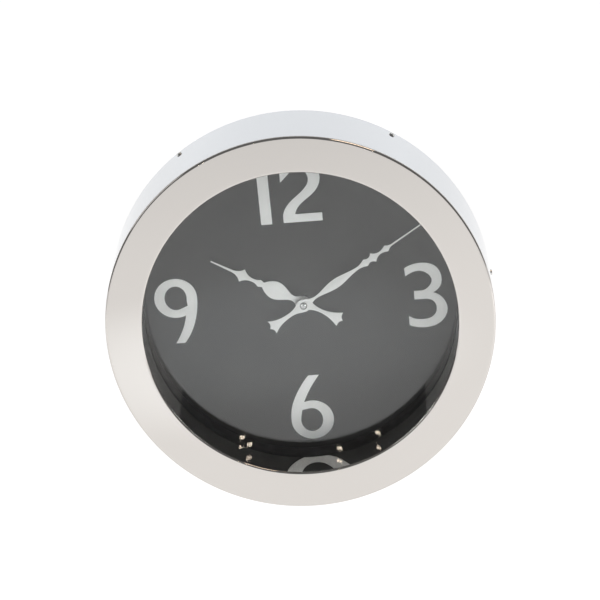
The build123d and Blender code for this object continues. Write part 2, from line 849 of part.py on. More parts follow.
with BuildPart() as centre_bushing:
    add(ring(case_floor - bushing_flange, bushing_flange, bushing_bore, bushing_flange_radius))
    add(ring(case_floor, bushing_end - case_floor, bushing_bore, bushing_radius))
    chamfer(centre_bushing.edges().group_by(Axis.Y)[0], length=bushing_chamfer)
centre_bushing.part.label = "centre_bushing"
export_step(centre_bushing.part, "parts/centre_bushing.step")

with BuildPart() as rubber_washer:
    add(ring(
        movement_front, dial_rear - movement_front, bushing_radius + bushing_clearance,
        rubber_washer_radius,
    ))
rubber_washer.part.label = "rubber_washer"
export_step(rubber_washer.part, "parts/rubber_washer.step")

with BuildPart() as fixing_washer:
    add(ring(
        dial_front, fixing_washer_thickness, bushing_radius + bushing_clearance,
        fixing_washer_radius,
    ))
fixing_washer.part.label = "fixing_washer"
export_step(fixing_washer.part, "parts/fixing_washer.step")

with BuildPart() as fixing_nut:
    with BuildSketch(train_plane(dial_front + fixing_washer_thickness)):
        RegularPolygon(nut_across_flats / 2, 6, major_radius=False)
        Circle(bushing_radius + press_clearance, mode=Mode.SUBTRACT)
    extrude(amount=nut_thickness)
fixing_nut.part.label = "fixing_nut"
export_step(fixing_nut.part, "parts/fixing_nut.step")

# ---- Movement: circuit and stepping motor ----
circuit_front = circuit_height + circuit_thickness
core_rear = stator_height + stator_thickness
core_middle = core_rear + core_thickness / 2
coil_length = coil_right - coil_left

with BuildPart() as circuit_board:
    with BuildSketch(train_plane(circuit_height)):
        with Locations(circuit_middle):
            RectangleRounded(*circuit_size, circuit_corner)
    extrude(amount=circuit_thickness)
circuit_board.part.label = "circuit_board"
export_step(circuit_board.part, "parts/circuit_board.step")

with BuildPart() as control_chip:
    with BuildSketch(train_plane(circuit_front)):
        with Locations(chip_middle):
            Circle(chip_radius)
    extrude(amount=chip_height)
    fillet(control_chip.edges().group_by(Axis.Y)[0], radius=chip_round)
control_chip.part.label = "control_chip"
export_step(control_chip.part, "parts/control_chip.step")

crystal_seat = Plane(
    origin=(hands_offset + crystal_foot[0], -circuit_front - crystal_radius, crystal_foot[1]),
    x_dir=(1, 0, 0),
    z_dir=(0, 0, 1),
)
with BuildPart() as quartz_crystal:
    with BuildSketch(crystal_seat):
        Circle(crystal_radius)
    extrude(amount=crystal_length)
    fillet(quartz_crystal.edges().group_by(Axis.Z)[-1], radius=crystal_round)
quartz_crystal.part.label = "quartz_crystal"
export_step(quartz_crystal.part, "parts/quartz_crystal.step")

# U-shaped iron plate: a bar round the rotor and a leg up to each end of the coil core.
bar_low = rotor_axis[1] - stator_half_bar
bar_high = rotor_axis[1] + stator_half_bar
leg_top = coil_z + core_width / 2 + stator_over_core
with BuildPart() as stator_plate:
    with BuildSketch(train_plane(stator_height)):
        with BuildLine():
            Polyline(
                (stator_left, bar_low), (stator_right, bar_low), (stator_right, leg_top),
                (stator_right - stator_leg_width, leg_top),
                (stator_right - stator_leg_width, bar_high),
                (stator_left + stator_leg_width, bar_high),
                (stator_left + stator_leg_width, leg_top), (stator_left, leg_top),
                close=True,
            )
        make_face()
        with Locations(rotor_axis):
            Circle(magnet_radius + stator_rotor_gap, mode=Mode.SUBTRACT)
        with Locations(intermediate_axis):
            Circle(arbor_radius + stator_arbor_gap, mode=Mode.SUBTRACT)
    extrude(amount=stator_thickness)
stator_plate.part.label = "stator_plate"
export_step(stator_plate.part, "parts/stator_plate.step")

with BuildPart() as coil_core:
    with BuildSketch(train_plane(core_rear)):
        with Locations(((stator_left + stator_right) / 2, coil_z)):
            Rectangle(stator_right - stator_left, core_width)
    extrude(amount=core_thickness)
coil_core.part.label = "coil_core"
export_step(coil_core.part, "parts/coil_core.step")

with BuildPart() as coil_bobbin:
    with BuildSketch(side_plane(coil_left, core_middle, coil_z)):
        Circle(bobbin_radius)
    extrude(amount=coil_length)
    for flange_left in (coil_left, coil_right - coil_flange):
        with BuildSketch(side_plane(flange_left, core_middle, coil_z)):
            Circle(coil_flange_radius)
        extrude(amount=coil_flange)
    with BuildSketch(side_plane(coil_left, core_middle, coil_z)):
        Rectangle(core_thickness + 2 * core_gap, core_width + 2 * core_gap)
    extrude(amount=coil_length, mode=Mode.SUBTRACT)
coil_bobbin.part.label = "coil_bobbin"
export_step(coil_bobbin.part, "parts/coil_bobbin.step")

with BuildPart() as coil_winding:
    with BuildSketch(side_plane(coil_left + coil_flange, core_middle, coil_z)):
        Circle(winding_radius)
        Circle(bobbin_radius + press_clearance, mode=Mode.SUBTRACT)
    extrude(amount=coil_length - 2 * coil_flange)
coil_winding.part.label = "coil_winding"
export_step(coil_winding.part, "parts/coil_winding.step")

# ---- Movement: cell and its contacts ----
# Spring strips along the side walls, each with a button that meets the end of the cell.
contact_low = cell_z - contact_below_cell
contact_middle_z = (contact_low + contact_top_z) / 2
contact_face = inner_size / 2 - contact_sheet
button_length = contact_face - cell_length / 2 - contact_gap

with BuildPart() as positive_contact:
    with BuildSketch(train_plane(cell_height - contact_width / 2)):
        with Locations((contact_face + contact_sheet / 2, contact_middle_z)):
            Rectangle(contact_sheet, contact_top_z - contact_low)
    extrude(amount=contact_width)
    with BuildSketch(side_plane(contact_face, cell_height, cell_z)):
        Circle(positive_button_radius)
    extrude(amount=-button_length)
positive_contact.part.label = "positive_contact"
export_step(positive_contact.part, "parts/positive_contact.step")

with BuildPart() as negative_contact:
    with BuildSketch(train_plane(cell_height - contact_width / 2)):
        with Locations((-contact_face - contact_sheet / 2, contact_middle_z)):
            Rectangle(contact_sheet, contact_top_z - contact_low)
    extrude(amount=contact_width)
    with BuildSketch(side_plane(-contact_face, cell_height, cell_z)):
        Circle(negative_button_radius)
    extrude(amount=button_length, taper=negative_button_slope)
negative_contact.part.label = "negative_contact"
export_step(negative_contact.part, "parts/negative_contact.step")

with BuildPart() as battery_cell:
    with BuildSketch(side_plane(-cell_length / 2, cell_height, cell_z)):
        Circle(cell_radius)
    extrude(amount=cell_length - cell_nub_length)
    fillet(battery_cell.edges().filter_by(GeomType.CIRCLE), radius=cell_edge_round)
    with BuildSketch(side_plane(cell_length / 2 - cell_nub_length, cell_height, cell_z)):
        Circle(cell_nub_radius)
    extrude(amount=cell_nub_length)
battery_cell.part.label = "battery_cell"
export_step(battery_cell.part, "parts/battery_cell.step")

# ---- Movement: going train, from the rotor to the centre wheel ----
rear_shoulder = cover_front + end_shake
bridge_shoulder = bridge_rear - end_shake
floor_shoulder = case_floor - end_shake
rear_pivot = (pivot_radius, cover_front - pivot_length, rear_shoulder)
bridge_pivot = (pivot_radius, bridge_shoulder, bridge_rear + pivot_length)
floor_pivot = (pivot_radius, floor_shoulder, case_floor + pivot_length)
short_arbor = [rear_pivot, (arbor_radius, rear_shoulder, bridge_shoulder), bridge_pivot]
long_arbor = [rear_pivot, (arbor_radius, rear_shoulder, floor_shoulder), floor_pivot]

with BuildPart() as rotor_pinion:
    add(arbor(rotor_axis, short_arbor))
    add(gear(
        *rotor_leaves_at, rotor_axis, rotor_leaves, rotor_module,
        gap_phase(rotor_leaves, rotor_direction + 180),
    ))
rotor_pinion.part.label = "rotor_pinion"
export_step(rotor_pinion.part, "parts/rotor_pinion.step")

with BuildPart() as rotor_magnet:
    add(ring(
        magnet_rear, magnet_length, arbor_radius + press_clearance, magnet_radius, rotor_axis
    ))
rotor_magnet.part.label = "rotor_magnet"
export_step(rotor_magnet.part, "parts/rotor_magnet.step")

with BuildPart() as intermediate_wheel:
    add(arbor(intermediate_axis, short_arbor))
    add(gear(
        intermediate_wheel_at, wheel_rim, intermediate_axis, intermediate_teeth,
        rotor_module, rotor_direction,
    ))
    add(gear(
        *intermediate_leaves_at, intermediate_axis, intermediate_leaves, seconds_module,
        gap_phase(intermediate_leaves, intermediate_direction + 180),
    ))
intermediate_wheel.part.label = "intermediate_wheel"
export_step(intermediate_wheel.part, "parts/intermediate_wheel.step")

with BuildPart() as seconds_wheel:
    add(arbor(
        centre_axis, [rear_pivot, (seconds_arbor_radius, rear_shoulder, seconds_arbor_end)]
    ))
    add(gear(
        seconds_wheel_at, wheel_rim, centre_axis, seconds_teeth, seconds_module,
        intermediate_direction,
    ))
    add(gear(
        *seconds_leaves_at, centre_axis, seconds_leaves, third_module,
        gap_phase(seconds_leaves, third_direction),
    ))
seconds_wheel.part.label = "seconds_wheel"
export_step(seconds_wheel.part, "parts/seconds_wheel.step")

with BuildPart() as third_wheel:
    add(arbor(third_axis, long_arbor))
    add(gear(
        third_wheel_at, wheel_rim, third_axis, third_teeth, third_module,
        third_direction + 180,
    ))
    add(gear(
        *third_leaves_at, third_axis, third_leaves, centre_module,
        gap_phase(third_leaves, third_direction + 180),
    ))
third_wheel.part.label = "third_wheel"
export_step(third_wheel.part, "parts/third_wheel.step")

# The centre wheel slips on the minute arbor when the hands are set.
with BuildPart() as centre_wheel:
    add(gear(
        centre_wheel_at, wheel_rim, centre_axis, centre_teeth, centre_module, third_direction
    ))
    with BuildSketch(train_plane(centre_wheel_at)):
        Circle(minute_tube_radius + slip_clearance)
    extrude(amount=wheel_rim, mode=Mode.SUBTRACT)
centre_wheel.part.label = "centre_wheel"
export_step(centre_wheel.part, "parts/centre_wheel.step")

# ---- Movement: motion works, from the minute arbor to the hour wheel and the knob ----
flange_rear, flange_length = minute_flange_at
with BuildPart() as minute_arbor:
    add(arbor(centre_axis, [
        (minute_flange_radius, flange_rear, flange_rear + flange_length),
        (minute_tube_radius, flange_rear + flange_length, minute_arbor_end),
    ]))
    add(gear(
        *cannon_leaves_at, centre_axis, cannon_leaves, cannon_module,
        gap_phase(cannon_leaves, minute_direction),
    ))
    with BuildSketch(train_plane(flange_rear)):
        Circle(minute_bore)
    extrude(amount=minute_arbor_end - minute_bore_end - flange_rear, mode=Mode.SUBTRACT)
minute_arbor.part.label = "minute_arbor"
export_step(minute_arbor.part, "parts/minute_arbor.step")

with BuildPart() as clutch_spring:
    add(ring(*clutch_spring_at, minute_tube_radius + press_clearance, clutch_spring_radius))
clutch_spring.part.label = "clutch_spring"
export_step(clutch_spring.part, "parts/clutch_spring.step")

# The minute wheel turns on a stud that stands on the floor of the movement case.
minute_hub_rear = minute_stud_height + minute_wheel_shake
with BuildPart() as minute_wheel:
    add(arbor(minute_axis, [(minute_wheel_hub_radius, minute_hub_rear, floor_shoulder)]))
    add(gear(
        minute_wheel_at, wheel_rim, minute_axis, minute_teeth, cannon_module,
        minute_direction + 180,
    ))
    add(gear(
        *minute_leaves_at, minute_axis, minute_leaves, hour_module,
        gap_phase(minute_leaves, minute_direction + 180),
    ))
    with BuildSketch(train_plane(minute_hub_rear)):
        with Locations(minute_axis):
            Circle(minute_stud_radius + pivot_clearance)
    extrude(amount=floor_shoulder - minute_hub_rear, mode=Mode.SUBTRACT)
minute_wheel.part.label = "minute_wheel"
export_step(minute_wheel.part, "parts/minute_wheel.step")

hour_wheel_rear = hour_wheel_at[0]
hour_tube_end = hour_hand_height + hand_sheet
with BuildPart() as hour_wheel:
    add(gear(*hour_wheel_at, centre_axis, hour_teeth, hour_module, minute_direction))
    add(arbor(centre_axis, [(hour_tube_radius, hour_wheel_rear, hour_tube_end)]))
    with BuildSketch(train_plane(hour_wheel_rear)):
        Circle(minute_tube_radius + running_clearance)
    extrude(amount=hour_tube_end - hour_wheel_rear, mode=Mode.SUBTRACT)
hour_wheel.part.label = "hour_wheel"
export_step(hour_wheel.part, "parts/hour_wheel.step")

knob_front = knob_rear + knob_thickness
knob_leaves_end = knob_leaves_at[0] + knob_leaves_at[1]
with BuildPart() as setting_knob:
    add(arbor(knob_axis, [
        (knob_radius, knob_rear, knob_front), (stem_radius, knob_front, knob_leaves_end),
        (stem_pivot_radius, knob_leaves_end, case_floor + pivot_length),
    ]))
    add(gear(
        *knob_leaves_at, knob_axis, knob_leaves, cannon_module,
        gap_phase(knob_leaves, minute_direction + 180),
    ))
    with BuildSketch(train_plane(knob_rear)):
        with Locations(knob_axis):
            with PolarLocations(knob_flute_circle, knob_flute_count):
                Circle(knob_flute_radius)
    extrude(amount=knob_thickness, mode=Mode.SUBTRACT)
setting_knob.part.label = "setting_knob"
export_step(setting_knob.part, "parts/setting_knob.step")
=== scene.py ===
"""Looks for the round wall clock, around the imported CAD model. Metres, +Z up, front faces -Y."""

import math

import bmesh
import bpy
from mathutils import Matrix, Quaternion, Vector


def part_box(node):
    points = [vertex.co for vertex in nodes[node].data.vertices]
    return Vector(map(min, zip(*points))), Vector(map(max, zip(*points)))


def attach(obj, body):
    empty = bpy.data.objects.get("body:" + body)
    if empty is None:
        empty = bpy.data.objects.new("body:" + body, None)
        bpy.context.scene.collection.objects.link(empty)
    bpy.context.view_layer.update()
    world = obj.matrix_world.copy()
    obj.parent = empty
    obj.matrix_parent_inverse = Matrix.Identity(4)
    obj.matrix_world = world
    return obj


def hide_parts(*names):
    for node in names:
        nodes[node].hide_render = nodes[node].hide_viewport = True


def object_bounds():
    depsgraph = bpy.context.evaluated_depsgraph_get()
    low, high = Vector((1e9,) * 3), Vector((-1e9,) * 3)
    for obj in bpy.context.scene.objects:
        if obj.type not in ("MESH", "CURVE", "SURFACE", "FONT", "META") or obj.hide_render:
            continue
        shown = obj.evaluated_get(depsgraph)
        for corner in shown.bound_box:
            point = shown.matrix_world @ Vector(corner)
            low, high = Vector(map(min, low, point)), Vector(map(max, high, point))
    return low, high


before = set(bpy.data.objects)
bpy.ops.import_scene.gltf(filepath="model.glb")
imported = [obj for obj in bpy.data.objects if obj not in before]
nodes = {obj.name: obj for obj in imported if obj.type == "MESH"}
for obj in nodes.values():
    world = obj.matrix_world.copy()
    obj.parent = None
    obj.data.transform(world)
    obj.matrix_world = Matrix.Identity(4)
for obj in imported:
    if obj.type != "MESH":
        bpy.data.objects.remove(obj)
cad_low, cad_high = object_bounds()

MM = 0.001

# ---- Camera: the photograph's viewing angle ----
AZIMUTH = 2.06
ELEVATION = 18.36
ROLL = -4.83
DISTANCE = 2.8125
LENS = 216.9
AIM_RIGHT = 1.35 * MM
AIM_UP = 20.4 * MM

# ---- Studio ----
FLOOR_DROP = 0.36
FLOOR_SIZE = 16.0
BACKDROP_AT = 3.2
BACKDROP_HEIGHT = 3.0
BACKDROP_BEND = 1.0
WORLD_GREY = 0.18
SWEEP_GLOW = 0.70
SWEEP_REFLECT = 0.5
SIDE_SIZE = (1.2, 0.9)
WARM = (1.0, 0.80, 0.60)
COOL = (0.88, 0.95, 1.0)

# Small highlights in the polished inner wall, made by far lamps, one lamp to each highlight. They
# come in pairs: one on the wall itself, and one deeper than the glass, on the wall's mirror image
# in it. A pair has a name, its clock angle on the wall and its two depths behind the bezel's face.
LAMP_AT = -2.6
LAMP_SIZE = (0.06, 0.0042)
LAMP_GLOW = 60
IMAGE_GLOW = 22
LAMP_COLOR = (1.0, 0.87, 0.72)
WALL_HIGHLIGHTS = (
    ("lamp_left", 207, 32 * MM, 53 * MM),
    ("lamp_lower_left", 204, 13 * MM, 43 * MM),
    ("lamp_lower_right", 170, 15 * MM, 43 * MM),
    ("lamp_right", 154.5, 12 * MM, 45 * MM),
)

# ---- Bezel: the CAD profile's sizes ----
BEZEL_OPENING = 123.4 * MM
BEZEL_SHEET = 1.2 * MM
BEZEL_RIM = 2.2 * MM
BEZEL_ROUND = 1.7 * MM
BEZEL_SKIRT = 151.15 * MM
SKIRT_DEPTH = 10.0 * MM

# ---- Hands: clock angles as in the CAD, and the height of the ridge ----
HOUR_ANGLE = 299.7
MINUTE_ANGLE = 58.25
HOUR_RIDGE = 0.22 * MM
MINUTE_RIDGE = 0.15 * MM


# ---- Node helpers ----
class Shader:
    """A material with one Principled shader and short calls to add texture nodes to it."""

    def __init__(self, name, color=(0.8, 0.8, 0.8), **inputs):
        self.material = bpy.data.materials.new(name)
        self.material.use_nodes = True
        self.tree = self.material.node_tree
        self.shader = self.tree.nodes["Principled BSDF"]
        self.set("Base Color", (*color, 1.0))
        for key, value in inputs.items():
            self.set(key.replace("_", " "), value)

    def set(self, socket, value):
        self.shader.inputs[socket].default_value = value

    def node(self, kind, **properties):
        made = self.tree.nodes.new(kind)
        for key, value in properties.items():
            setattr(made, key, value)
        return made

    def link(self, start, end):
        self.tree.links.new(start, end)

    def coordinates(self, stretch=(1, 1, 1), turn=(0, 0, 0)):
        """Object coordinates, which are the row frame in metres, scaled and turned."""
        source = self.node("ShaderNodeTexCoord")
        mapping = self.node("ShaderNodeMapping")
        mapping.inputs["Scale"].default_value = stretch
        mapping.inputs["Rotation"].default_value = turn
        self.link(source.outputs["Object"], mapping.inputs["Vector"])
        return mapping.outputs["Vector"]

    def noise(self, size, detail=2.0, where=None, roughness=0.5):
        """Noise whose features are about this size, in metres."""
        made = self.node("ShaderNodeTexNoise")
        made.inputs["Scale"].default_value = 1.0 / size
        made.inputs["Detail"].default_value = detail
        made.inputs["Roughness"].default_value = roughness
        self.link(where or self.coordinates(), made.inputs["Vector"])
        return made.outputs["Fac"]

    def spread(self, value, low, high, start=0.3, end=0.7):
        """Maps a 0 to 1 value onto low to high."""
        made = self.node("ShaderNodeMapRange")
        made.inputs["From Min"].default_value = start
        made.inputs["From Max"].default_value = end
        made.inputs["To Min"].default_value = low
        made.inputs["To Max"].default_value = high
        self.link(value, made.inputs["Value"])
        return made.outputs["Result"]

    def blend(self, factor, first, second):
        """Colour between first and second."""
        made = self.node("ShaderNodeMix", data_type="RGBA")
        self.link(factor, made.inputs["Factor"])
        for name, color in (("A", first), ("B", second)):
            socket = [s for s in made.inputs if s.name == name and s.type == "RGBA"][0]
            if isinstance(color, tuple):
                socket.default_value = (*color, 1.0)
            else:
                self.link(color, socket)
        return [s for s in made.outputs if s.type == "RGBA"][0]

    def color(self, source):
        self.link(source, self.shader.inputs["Base Color"])

    def rough(self, source):
        self.link(source, self.shader.inputs["Roughness"])

    def bump(self, height, depth, strength=1.0):
        """Bump of this depth, in metres."""
        made = self.node("ShaderNodeBump")
        made.inputs["Distance"].default_value = depth
        made.inputs["Strength"].default_value = strength
        self.link(height, made.inputs["Height"])
        self.link(made.outputs["Normal"], self.shader.inputs["Normal"])


def paint(shader, *names):
    """Gives CAD nodes this material alone."""
    for name in names:
        mesh = nodes[name].data
        mesh.materials.clear()
        mesh.materials.append(shader.material)


# ---- Materials ----
def polished_metal(name, color, rough=0.035):
    """Plated and polished metal with faint polishing haze."""
    made = Shader(name, color, Metallic=1.0)
    haze = made.noise(60 * MM, 3.0)
    made.rough(made.spread(haze, rough * 0.8, rough * 1.3))
    tone = made.noise(180 * MM, 2.0)
    brighter = tuple(min(1.0, c * 1.015) for c in color)
    darker = tuple(c * 0.985 for c in color)
    made.color(made.blend(made.spread(tone, 0.0, 1.0), darker, brighter))
    return made


def satin_metal(name, color, rough=0.32, grain=0.35 * MM, depth=0.01 * MM):
    """Satin metal with a fine even grain."""
    made = Shader(name, color, Metallic=1.0)
    fine = made.noise(grain, 3.0)
    made.rough(made.spread(fine, rough - 0.05, rough + 0.06))
    made.color(made.blend(made.spread(made.noise(12 * MM), 0.0, 1.0),
                          tuple(c * 0.95 for c in color), tuple(min(1, c * 1.03) for c in color)))
    made.bump(fine, depth)
    return made


def silver_paint(name, color, metallic, rough=0.4):
    """Silver paint: part bright flake, part matt, with a very fine sparkle."""
    made = Shader(name, color, Metallic=metallic)
    made.set("Specular IOR Level", 0.3)
    flake = made.noise(0.25 * MM, 2.0)
    made.rough(made.spread(flake, rough - 0.05, rough + 0.06))
    made.color(made.blend(made.spread(made.noise(14 * MM), 0.0, 1.0),
                          tuple(c * 0.97 for c in color), tuple(min(1, c * 1.02) for c in color)))
    made.bump(flake, 0.006 * MM)
    return made


def moulded_plastic(name, color, rough=0.42, grain=0.5 * MM, depth=0.015 * MM):
    """Injection-moulded plastic with a fine spark-eroded texture."""
    made = Shader(name, color, Roughness=rough)
    fine = made.noise(grain, 2.0)
    made.rough(made.spread(made.noise(9 * MM), rough - 0.05, rough + 0.07))
    made.color(made.blend(made.spread(made.noise(6 * MM), 0.0, 1.0),
                          tuple(c * 0.93 for c in color), tuple(min(1, c * 1.05) for c in color)))
    made.bump(fine, depth)
    return made


def clear_glass():
    made = Shader("clear_glass", (0.985, 1.0, 0.992), Roughness=0.0, IOR=1.5)
    made.set("Transmission Weight", 1.0)
    return made


def dial_paint():
    """Satin black paint with a very fine orange peel."""
    made = Shader("dial_black", (0.016, 0.0165, 0.0165), Roughness=0.5)
    peel = made.noise(0.9 * MM, 3.0)
    made.rough(made.spread(made.noise(30 * MM), 0.46, 0.56))
    made.color(made.blend(made.spread(made.noise(40 * MM), 0.0, 1.0),
                          (0.012, 0.0122, 0.012), (0.016, 0.0162, 0.016)))
    made.bump(peel, 0.01 * MM)
    return made


def fibreboard():
    """Raw fibreboard: pressed brown fibres, darker flecks."""
    made = Shader("fibreboard", (0.36, 0.25, 0.16), Roughness=0.85)
    fibre = made.noise(1.6 * MM, 6.0, made.coordinates((1, 1, 2.5)), 0.65)
    fleck = made.noise(0.6 * MM, 2.0)
    base = made.blend(made.spread(fibre, 0.0, 1.0), (0.27, 0.175, 0.10), (0.43, 0.31, 0.20))
    made.color(made.blend(made.spread(fleck, 0.0, 0.6, 0.55, 0.75), base, (0.16, 0.10, 0.06)))
    made.bump(fibre, 0.06 * MM)
    return made


def circuit_laminate():
    """Green solder mask with faint tracks under it."""
    made = Shader("circuit_laminate", (0.03, 0.17, 0.07), Roughness=0.3)
    tracks = made.node("ShaderNodeTexBrick")
    tracks.inputs["Scale"].default_value = 420.0
    tracks.inputs["Mortar Size"].default_value = 0.06
    tracks.inputs["Color1"].default_value = (0.02, 0.13, 0.05, 1)
    tracks.inputs["Color2"].default_value = (0.03, 0.18, 0.08, 1)
    tracks.inputs["Mortar"].default_value = (0.07, 0.30, 0.13, 1)
    made.link(made.coordinates(turn=(math.pi / 2, 0, 0)), tracks.inputs["Vector"])
    made.color(tracks.outputs["Color"])
    return made


def copper_winding():
    """Enamelled copper wire, its turns side by side along X."""
    made = Shader("copper_wire", (0.72, 0.27, 0.10), Metallic=1.0, Roughness=0.28)
    turns = made.node("ShaderNodeTexWave", wave_type="BANDS", bands_direction="X")
    turns.inputs["Scale"].default_value = 1500.0
    made.link(made.coordinates(), turns.inputs["Vector"])
    made.bump(turns.outputs["Fac"], 0.06 * MM)
    made.color(made.blend(made.spread(turns.outputs["Fac"], 0.0, 1.0),
                          (0.42, 0.13, 0.05), (0.80, 0.34, 0.14)))
    return made


def cell_sleeve():
    """Plain shrink sleeve of a battery cell: dark body and one copper-coloured end band."""
    made = Shader("cell_sleeve", (0.03, 0.035, 0.05), Roughness=0.22)
    low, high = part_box("battery_cell")
    axis = made.node("ShaderNodeSeparateXYZ")
    source = made.node("ShaderNodeTexCoord")
    made.link(source.outputs["Object"], axis.inputs["Vector"])
    band_start = low.x + 0.72 * (high.x - low.x)
    band = made.spread(axis.outputs["X"], 0.0, 1.0, band_start, band_start + 0.2 * MM)
    wear = made.noise(3 * MM, 3.0)
    dark = made.blend(made.spread(wear, 0.0, 1.0), (0.025, 0.028, 0.04), (0.04, 0.045, 0.06))
    made.color(made.blend(band, dark, (0.62, 0.33, 0.14)))
    made.bump(wear, 0.01 * MM)
    return made


def paint_everything():
    # Case drum metal: its own polished grey, with a cool blue tint in the colour that is a painted
    # reflection of cool surroundings.
    paint(polished_metal("polished_case", (0.56, 0.585, 0.617)), "case_drum")
    paint(polished_bezel, "front_bezel")
    paint(clear_glass(), "glass_lens")
    paint(moulded_plastic("black_rubber", (0.012, 0.012, 0.012), 0.7), "glass_gasket", "rubber_washer")
    paint(moulded_plastic("black_plastic", (0.008, 0.008, 0.008), 0.55), "spacer_ring", "control_chip")
    paint(dial_paint(), "dial_plate")
    paint(silver_paint("silver_trim", (0.92, 0.92, 0.915), 0.42),
          "numeral_12", "numeral_3", "numeral_6", "numeral_9")
    paint(satin_metal("zinc_steel", (0.60, 0.61, 0.60), 0.3, 0.8 * MM),
          "spacer_screws", "hanger_plate", "hanger_screws", "bridge_screws", "stator_plate", "coil_core")
    paint(satin_metal("screw_steel", (0.55, 0.55, 0.54), 0.25), "case_screws")
    paint(satin_metal("satin_nut", (0.52, 0.52, 0.52), 0.22), "hand_nut")
    paint(satin_metal("brass", (0.72, 0.50, 0.20), 0.25),
          "centre_bushing", "minute_arbor")
    paint(satin_metal("dark_fixing", (0.10, 0.10, 0.10), 0.35), "fixing_washer", "fixing_nut",
          "hour_hand_collet", "minute_hand_collet")
    paint(fibreboard(), "back_board")
    paint(moulded_plastic("movement_plastic", (0.02, 0.02, 0.022), 0.45), "movement_case",
          "movement_cover")
    paint(moulded_plastic("natural_plastic", (0.78, 0.76, 0.70), 0.4, 0.3 * MM),
          "train_bridge", "coil_bobbin", "rotor_pinion", "intermediate_wheel", "seconds_wheel",
          "third_wheel", "centre_wheel", "minute_wheel", "hour_wheel")
    paint(circuit_laminate(), "circuit_board")
    paint(satin_metal("crystal_can", (0.68, 0.68, 0.68), 0.25), "quartz_crystal")
    paint(copper_winding(), "coil_winding")
    paint(satin_metal("contact_nickel", (0.66, 0.63, 0.58), 0.22),
          "positive_contact", "negative_contact", "clutch_spring")
    paint(cell_sleeve(), "battery_cell")
    paint(satin_metal("magnet", (0.13, 0.13, 0.14), 0.45), "rotor_magnet")
    paint(moulded_plastic("knob_plastic", (0.80, 0.80, 0.77), 0.4), "setting_knob")


# ---- Hands: pressed sheet with a ridge along the middle ----
def ridged_hand(node, body, clock_angle, ridge, stations=90):
    """Copy of a flat hand whose front is raised along its axis and slopes to the edges."""
    angle = math.radians(clock_angle)
    along = Vector((math.sin(angle), 0.0, math.cos(angle)))
    across = Vector((-math.cos(angle), 0.0, math.sin(angle)))
    nut_low, nut_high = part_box("hand_nut")
    pivot = (Vector(nut_low) + Vector(nut_high)) / 2
    mesh = nodes[node].data.copy()
    mesh.name = node + "_pressed"
    made = bpy.data.objects.new(node + "_pressed", mesh)
    bpy.context.scene.collection.objects.link(made)
    work = bmesh.new()
    work.from_mesh(mesh)
    bmesh.ops.remove_doubles(work, verts=work.verts, dist=1e-6)
    reach = [(v.co - pivot).dot(along) for v in work.verts]
    low, high = min(reach), max(reach)
    cuts = [(pivot, across)]
    for i in range(stations):
        cuts.append((pivot + along * (low + (high - low) * (i + 0.5) / stations), along))
    for point, normal in cuts:
        everything = work.verts[:] + work.edges[:] + work.faces[:]
        bmesh.ops.bisect_plane(work, geom=everything, plane_co=point, plane_no=normal, dist=1e-7)
    front = min(v.co.y for v in work.verts)
    side = {v: abs((v.co - pivot).dot(across)) for v in work.verts}
    place_of = {v: (v.co - pivot).dot(along) for v in work.verts}
    widest = max(side.values())
    on_front = [v for v in work.verts if v.co.y < front + 1e-6]
    on_axis = [v for v in on_front if side[v] < 1e-6]
    rim = [v for v in on_front if side[v] >= 1e-6]
    for vertex in on_axis:
        place = place_of[vertex]
        near = [side[v] for v in rim if abs(place_of[v] - place) < 0.8 * MM]
        half_width = max(near) if near else 0.3 * MM
        vertex.co.y -= ridge * min(1.0, half_width / (0.5 * widest))
    work.to_mesh(mesh)
    work.free()
    mesh.materials.clear()
    mesh.materials.append(silver_hand.material)
    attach(made, body)
    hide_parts(node)
    return made


# ---- Bezel: the CAD profile turned smoothly, so that its polish has no facets ----
def quarter_round(centre, radius, start, steps=14):
    """Points of a clockwise quarter circle, with a close point before and after it."""
    hold = 0.03 * MM
    points = []
    for step in range(steps + 1):
        angle = math.radians(start - 90 * step / steps)
        points.append((centre[0] + radius * math.cos(angle), centre[1] + radius * math.sin(angle)))
    lead = math.radians(start - 90)
    trail = math.radians(start - 180)
    before = (points[0][0] - hold * math.cos(lead), points[0][1] - hold * math.sin(lead))
    after = (points[-1][0] + hold * math.cos(trail), points[-1][1] + hold * math.sin(trail))
    return [before, *points, after]


